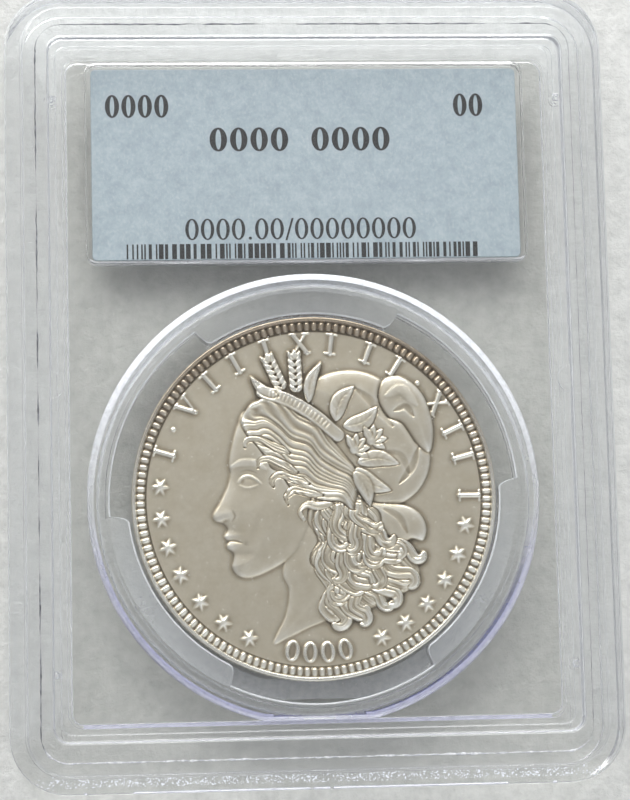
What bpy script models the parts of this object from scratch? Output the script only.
"""Graded coin slab: two clear polystyrene half-shells welded round a coin, its three-tab
gasket, a printed card and the card's foil seal.

Frame: metres, +Z up. The slab lies on its back. The origin is the centre of its footprint,
on the plane that the back rim rests on. +Y runs from the coin towards the label.
"""

import math

import bmesh
import bpy

MM = 0.001

# Outer size
WIDTH = 63.5 * MM
HEIGHT = 84.0 * MM
THICKNESS = 8.0 * MM
CORNER_R = 6.0 * MM
CORNER_STEPS = 8

# Levels above the resting plane
Z_BACK_WINDOW = 1.1 * MM
Z_WELL_FLOOR = 2.45 * MM
Z_CARD_FLOOR = 2.85 * MM
Z_BACK_RELIEF = 3.65 * MM
Z_PART = 4.0 * MM
PART_GAP = 0.15 * MM
Z_FRONT_RELIEF = 4.35 * MM
Z_CARD_CEILING = 4.9 * MM
Z_WELL_CEILING = 5.55 * MM
Z_LEDGE = 6.6 * MM
Z_FRONT_WINDOW = 6.9 * MM

# Insets from the outer outline
LEDGE_W = 1.9 * MM
WINDOW_IN_X, WINDOW_IN_Y = 4.6 * MM, 5.3 * MM
BACK_RIM_W = 1.75 * MM
CAVITY_IN_X, CAVITY_IN_BOTTOM, CAVITY_IN_TOP = 6.3 * MM, 7.0 * MM, 7.4 * MM
WELD_IN = 3.2 * MM

# Coin well, gasket and coin share one centre line
COIN_Y = -12.0 * MM
WELL_R = 23.7 * MM
GASKET_R = 22.7 * MM
GASKET_Z0, GASKET_Z1 = 2.75 * MM, 5.25 * MM
GAP_R = 21.25 * MM
TAB_R = 19.35 * MM
TAB_SPAN = math.radians(60.0)
TAB_TURN = math.radians(94.5)
COIN_R = 19.05 * MM
COIN_T = 2.4 * MM
FIELD_T = 1.86 * MM
RIM_W = 1.1 * MM

# Card pocket
POCKET_HALF_W = 23.4 * MM
POCKET_Y0 = 12.9 * MM
CARD_W, CARD_H, CARD_T = 45.5 * MM, 20.6 * MM, 0.35 * MM
CARD_Y = 23.75 * MM
CARD_Z = 3.6 * MM
SEAL_R, SEAL_T, SEAL_GAP = 5.0 * MM, 0.1 * MM, 0.3 * MM

# Locating pins and the round pads at mid height
PIN_X, PIN_Y_TOP, PIN_Y_BOTTOM = 26.1 * MM, 30.5 * MM, -29.8 * MM
PIN_R, SOCKET_R = 0.4 * MM, 0.7 * MM
PAD_X, PAD_R = 27.3 * MM, 1.5 * MM


def clear_scene():
    for obj in list(bpy.data.objects):
        bpy.data.objects.remove(obj, do_unlink=True)


def collection(name):
    found = bpy.data.collections.new(name)
    bpy.context.scene.collection.children.link(found)
    return found


def material(name, colour, roughness, metallic=0.0, transmission=0.0, alpha=1.0):
    mat = bpy.data.materials.new(name)
    mat.use_nodes = True
    bsdf = mat.node_tree.nodes["Principled BSDF"]
    bsdf.inputs["Base Color"].default_value = (*colour, 1.0)
    bsdf.inputs["Roughness"].default_value = roughness
    bsdf.inputs["Metallic"].default_value = metallic
    bsdf.inputs["Transmission Weight"].default_value = transmission
    bsdf.inputs["IOR"].default_value = 1.59
    bsdf.inputs["Alpha"].default_value = alpha
    return mat


def add_object(name, bm, where, mat=None):
    bmesh.ops.recalc_face_normals(bm, faces=bm.faces)
    mesh = bpy.data.meshes.new(name)
    bm.to_mesh(mesh)
    bm.free()
    obj = bpy.data.objects.new(name, mesh)
    where.objects.link(obj)
    if mat:
        mesh.materials.append(mat)
    return obj


def rounded_box(x0, x1, y0, y1, z0, z1, r, steps=CORNER_STEPS, top=0.0, bottom=0.0, fillet_steps=2):
    """A box with rounded vertical corners, and its top or bottom edge rounded where asked."""
    bm = bmesh.new()
    bmesh.ops.create_cube(bm, size=1.0)
    for v in bm.verts:
        v.co.x = x0 if v.co.x < 0 else x1
        v.co.y = y0 if v.co.y < 0 else y1
        v.co.z = z0 if v.co.z < 0 else z1
    if r:
        upright = [e for e in bm.edges if abs(e.verts[0].co.z - e.verts[1].co.z) > 1e-7]
        bmesh.ops.bevel(bm, geom=upright, offset=r, segments=steps, profile=0.5, affect="EDGES")
    for level, width in ((z1, top), (z0, bottom)):
        if width:
            rim = [e for e in bm.edges if all(abs(v.co.z - level) < 1e-8 for v in e.verts)]
            bmesh.ops.bevel(bm, geom=rim, offset=width, segments=fillet_steps, profile=0.5, affect="EDGES")
    return bm


def inset_box(inset_x, inset_y0, inset_y1, z0, z1, r, **more):
    return rounded_box(
        -WIDTH / 2 + inset_x, WIDTH / 2 - inset_x,
        -HEIGHT / 2 + inset_y0, HEIGHT / 2 - inset_y1, z0, z1, r, **more,
    )


def cylinder(x, y, z0, z1, r, steps, r_top=None):
    bm = bmesh.new()
    bmesh.ops.create_cone(
        bm, cap_ends=True, segments=steps, radius1=r, radius2=r if r_top is None else r_top, depth=z1 - z0
    )
    bmesh.ops.translate(bm, verts=bm.verts, vec=(x, y, (z0 + z1) / 2))
    return bm


def boolean(obj, other, operation):
    mod = obj.modifiers.new(f"{operation.lower()}_{other.name}", "BOOLEAN")
    mod.operation = operation
    mod.solver = "EXACT"
    mod.object = other


def helper(name, bm):
    obj = add_object(name, bm, CUTTERS)
    obj.hide_render = True
    obj.display_type = "WIRE"
    return obj


def cut(obj, name, bm):
    boolean(obj, helper(name, bm), "DIFFERENCE")


def join(obj, name, bm):
    boolean(obj, helper(name, bm), "UNION")


def well_cutter(z0, z1, fillet_at_top):
    """The coin well: a cylinder flattened where it meets the cavity's bottom wall, with a rounded far edge."""
    bm = cylinder(0.0, COIN_Y, z0, z1, WELL_R, 80)
    bmesh.ops.bisect_plane(
        bm, geom=bm.verts[:] + bm.edges[:] + bm.faces[:],
        plane_co=(0.0, -HEIGHT / 2 + CAVITY_IN_BOTTOM, 0.0), plane_no=(0.0, -1.0, 0.0), clear_outer=True,
    )
    bmesh.ops.holes_fill(bm, edges=[e for e in bm.edges if e.is_boundary])
    level = z1 if fillet_at_top else z0
    rim = [e for e in bm.edges if all(abs(v.co.z - level) < 1e-8 for v in e.verts)]
    bmesh.ops.bevel(bm, geom=rim, offset=0.7 * MM, segments=2, profile=0.5, affect="EDGES")
    return bm


def weld_frame(obj, name, z0, z1, half_width, joining):
    """A closed rib, or the groove for it, along the weld line."""
    frame = helper(name, inset_box(*[WELD_IN - half_width] * 3, z0, z1, CORNER_R - WELD_IN + half_width))
    cut(frame, name + "_inside", inset_box(
        *[WELD_IN + half_width] * 3, z0 - MM, z1 + MM, CORNER_R - WELD_IN - half_width))
    boolean(obj, frame, "UNION" if joining else "DIFFERENCE")


def make_front_shell(mat):
    z0 = Z_PART + PART_GAP
    shell = add_object("front_shell", inset_box(0, 0, 0, z0, Z_LEDGE, CORNER_R, top=0.3 * MM), PARTS, mat)
    # Stacking rim, set in from the outer ledge
    join(shell, "front_rim", inset_box(
        LEDGE_W, LEDGE_W, LEDGE_W, Z_LEDGE - 0.4 * MM, THICKNESS, CORNER_R - LEDGE_W, top=0.3 * MM))
    cut(shell, "front_window_recess", inset_box(
        WINDOW_IN_X, WINDOW_IN_Y, WINDOW_IN_Y, Z_FRONT_WINDOW, THICKNESS + 2 * MM, 1.5 * MM, bottom=0.25 * MM))
    # Inside: a shallow relief between the plates, the coin well and the card pocket
    cut(shell, "front_relief", inset_box(
        CAVITY_IN_X, CAVITY_IN_BOTTOM, CAVITY_IN_TOP, z0 - 2 * MM, Z_FRONT_RELIEF, 1.2 * MM))
    cut(shell, "front_well", well_cutter(z0 - 2 * MM, Z_WELL_CEILING, True))
    cut(shell, "front_card_pocket", rounded_box(
        -POCKET_HALF_W, POCKET_HALF_W, POCKET_Y0, HEIGHT / 2 - CAVITY_IN_TOP,
        z0 - 2 * MM, Z_CARD_CEILING, 1.2 * MM, steps=4))
    # Energy director along the weld line, and four locating pins
    weld_frame(shell, "energy_director", Z_PART - 0.25 * MM, z0 + 0.3 * MM, 0.25 * MM, True)
    for side in (-1, 1):
        for y in (PIN_Y_TOP, PIN_Y_BOTTOM):
            join(shell, f"pin_{side}_{y:.4f}", cylinder(
                side * (PIN_X + 0.9 * MM), y, Z_PART - 0.5 * MM, z0 + 0.5 * MM, PIN_R, 16))
        # Round pad straddling the rim's inner wall at mid height
        join(shell, f"pad_{side}", cylinder(
            side * PAD_X, 0.0, Z_FRONT_WINDOW - 0.5 * MM, Z_FRONT_WINDOW + 0.25 * MM, PAD_R, 24))
    # The lower side face is set back between two corner lugs and a pair of gate ribs
    for x0, x1 in ((-19.25, -1.2), (-0.85, 0.85), (1.2, 19.25)):
        cut(shell, f"side_step_{x0}", rounded_box(
            x0 * MM, x1 * MM, -HEIGHT / 2 - MM, -HEIGHT / 2 + 0.3 * MM, Z_PART + 0.7 * MM, Z_LEDGE - 0.5 * MM, 0))
    for side in (-1, 1):
        cut(shell, f"lug_slot_{side}", rounded_box(
            side * 24.1 * MM - 0.18 * MM, side * 24.1 * MM + 0.18 * MM,
            -HEIGHT / 2 - MM, -HEIGHT / 2 + 0.3 * MM, Z_PART + 0.7 * MM, Z_LEDGE - 0.5 * MM, 0))
    return shell


def make_back_shell(mat):
    z1 = Z_PART - PART_GAP
    shell = add_object("back_shell", inset_box(0, 0, 0, 0.0, z1, CORNER_R, bottom=0.3 * MM), PARTS, mat)
    # Recess that nests over another slab's stacking rim, and carries the back window
    cut(shell, "back_stack_recess", inset_box(
        BACK_RIM_W, BACK_RIM_W, BACK_RIM_W, -2 * MM, Z_BACK_WINDOW, CORNER_R - BACK_RIM_W, top=0.25 * MM))
    # Inside
    cut(shell, "back_relief", inset_box(
        CAVITY_IN_X, CAVITY_IN_BOTTOM, CAVITY_IN_TOP, Z_BACK_RELIEF, z1 + 2 * MM, 1.2 * MM))
    cut(shell, "back_well", well_cutter(Z_WELL_FLOOR, z1 + 2 * MM, False))
    cut(shell, "back_card_pocket", rounded_box(
        -POCKET_HALF_W, POCKET_HALF_W, POCKET_Y0, HEIGHT / 2 - CAVITY_IN_TOP,
        Z_CARD_FLOOR, z1 + 2 * MM, 1.2 * MM, steps=4))
    weld_frame(shell, "weld_groove", Z_PART - 0.6 * MM, z1 + 0.5 * MM, 0.55 * MM, False)
    for side in (-1, 1):
        for y in (PIN_Y_TOP, PIN_Y_BOTTOM):
            cut(shell, f"socket_{side}_{y:.4f}", cylinder(
                side * (PIN_X + 0.9 * MM), y, Z_PART - 0.9 * MM, z1 + MM, SOCKET_R, 16))
    return shell


def tab_outline(steps=6):
    """The gasket's inner outline: three tabs that reach the coin, with rounded corners, and wide gaps between them."""
    corner = 0.8 * MM
    points = []
    for tab in range(3):
        centre = TAB_TURN + tab * 2 * math.pi / 3
        lo, hi = centre - TAB_SPAN / 2, centre + TAB_SPAN / 2
        # leading corner: from the gap radius in to the tab radius
        for end, sign in ((lo, 1), (hi, -1)):
            turn = []
            c = TAB_R + corner
            a = end + sign * corner / c
            for i in range(steps + 1):
                t = math.pi / 2 * i / steps
                # quarter circle between the tab's end face and its inner face
                radial = c - corner * math.sin(t)
                around = a - sign * corner * math.cos(t) / c
                turn.append((radial, around))
            turn.insert(0, (GAP_R, end))
            points += turn if sign == 1 else turn[::-1]
            if sign == 1:
                inner = 8
                points += [
                    (TAB_R, a + (hi - lo - 2 * corner / c) * i / inner) for i in range(1, inner)
                ]
        nxt = centre + 2 * math.pi / 3 - TAB_SPAN / 2
        outer = 9
        points += [(GAP_R, hi + (nxt - hi) * i / outer) for i in range(1, outer)]
    return [(r * math.cos(a), r * math.sin(a)) for r, a in points]


def make_gasket(mat):
    curve = bpy.data.curves.new("gasket_outline", "CURVE")
    curve.dimensions = "2D"
    curve.fill_mode = "BOTH"
    curve.extrude = (GASKET_Z1 - GASKET_Z0) / 2
    circle = [
        (GASKET_R * math.cos(2 * math.pi * i / 72), GASKET_R * math.sin(2 * math.pi * i / 72)) for i in range(72)
    ]
    for outline in (circle, tab_outline()):
        spline = curve.splines.new("POLY")
        spline.points.add(len(outline) - 1)
        for point, (x, y) in zip(spline.points, outline):
            point.co = (x, y, 0.0, 1.0)
        spline.use_cyclic_u = True
    drawn = bpy.data.objects.new("gasket_curve", curve)
    drawn.location = (0.0, COIN_Y, (GASKET_Z0 + GASKET_Z1) / 2)
    PARTS.objects.link(drawn)
    bpy.context.view_layer.update()
    graph = bpy.context.evaluated_depsgraph_get()
    mesh = bpy.data.meshes.new_from_object(drawn.evaluated_get(graph))
    gasket = bpy.data.objects.new("coin_gasket", mesh)
    gasket.matrix_world = drawn.matrix_world
    PARTS.objects.link(gasket)
    bpy.data.objects.remove(drawn)
    bm = bmesh.new()
    bm.from_mesh(mesh)
    bmesh.ops.remove_doubles(bm, verts=bm.verts, dist=1e-6)
    bmesh.ops.dissolve_limit(bm, angle_limit=math.radians(1), verts=bm.verts, edges=bm.edges)
    bmesh.ops.recalc_face_normals(bm, faces=bm.faces)
    bm.to_mesh(mesh)
    bm.free()
    mesh.materials.clear()
    mesh.materials.append(mat)
    bevel = gasket.modifiers.new("soft_edges", "BEVEL")
    bevel.width = 0.3 * MM
    bevel.segments = 1
    bevel.limit_method = "ANGLE"
    bevel.angle_limit = math.radians(50)
    bevel.use_clamp_overlap = True
    return gasket


def make_coin(mat):
    """Turned blank with a raised rim on both faces; the profile runs down the outer side."""
    half, field = COIN_T / 2, FIELD_T / 2
    profile = [
        (0.0, field), (COIN_R - RIM_W - 0.25 * MM, field), (COIN_R - RIM_W, half),
        (COIN_R - 0.12 * MM, half), (COIN_R, half - 0.12 * MM),
    ]
    profile += [(r, -z) for r, z in reversed(profile)]
    bm = bmesh.new()
    verts = [bm.verts.new((r, 0.0, z)) for r, z in profile]
    for a, b in zip(verts, verts[1:]):
        bm.edges.new((a, b))
    mesh = bpy.data.meshes.new("coin")
    bm.to_mesh(mesh)
    bm.free()
    coin = bpy.data.objects.new("coin", mesh)
    coin.location = (0.0, COIN_Y, Z_PART)
    PARTS.objects.link(coin)
    mesh.materials.append(mat)
    screw = coin.modifiers.new("turn", "SCREW")
    screw.steps = screw.render_steps = 96
    screw.use_merge_vertices = True
    screw.merge_threshold = 1e-5
    return coin


def make_card(mat):
    return add_object("label_card", rounded_box(
        -CARD_W / 2, CARD_W / 2, CARD_Y - CARD_H / 2, CARD_Y + CARD_H / 2,
        CARD_Z, CARD_Z + CARD_T, 0.6 * MM, steps=3), PARTS, mat)


def make_seal(mat):
    return add_object("security_seal", cylinder(
        0.0, CARD_Y, CARD_Z - SEAL_GAP - SEAL_T, CARD_Z - SEAL_GAP, SEAL_R, 40), PARTS, mat)


clear_scene()
PARTS = collection("graded_coin_slab")
CUTTERS = collection("cutters")
clear_plastic = material("clear_polystyrene", (0.93, 0.94, 0.96), 0.04, transmission=1.0)
clear_gasket = material("clear_gasket_plastic", (0.92, 0.93, 0.93), 0.12, transmission=1.0)
silver = material("coin_silver", (0.72, 0.69, 0.63), 0.28, metallic=1.0)
card_stock = material("label_paper", (0.60, 0.70, 0.75), 0.7)
foil = material("seal_foil", (0.80, 0.82, 0.85), 0.2, metallic=1.0)

make_front_shell(clear_plastic)
make_back_shell(clear_plastic)
make_gasket(clear_gasket)
make_coin(silver)
make_card(card_stock)
make_seal(foil)
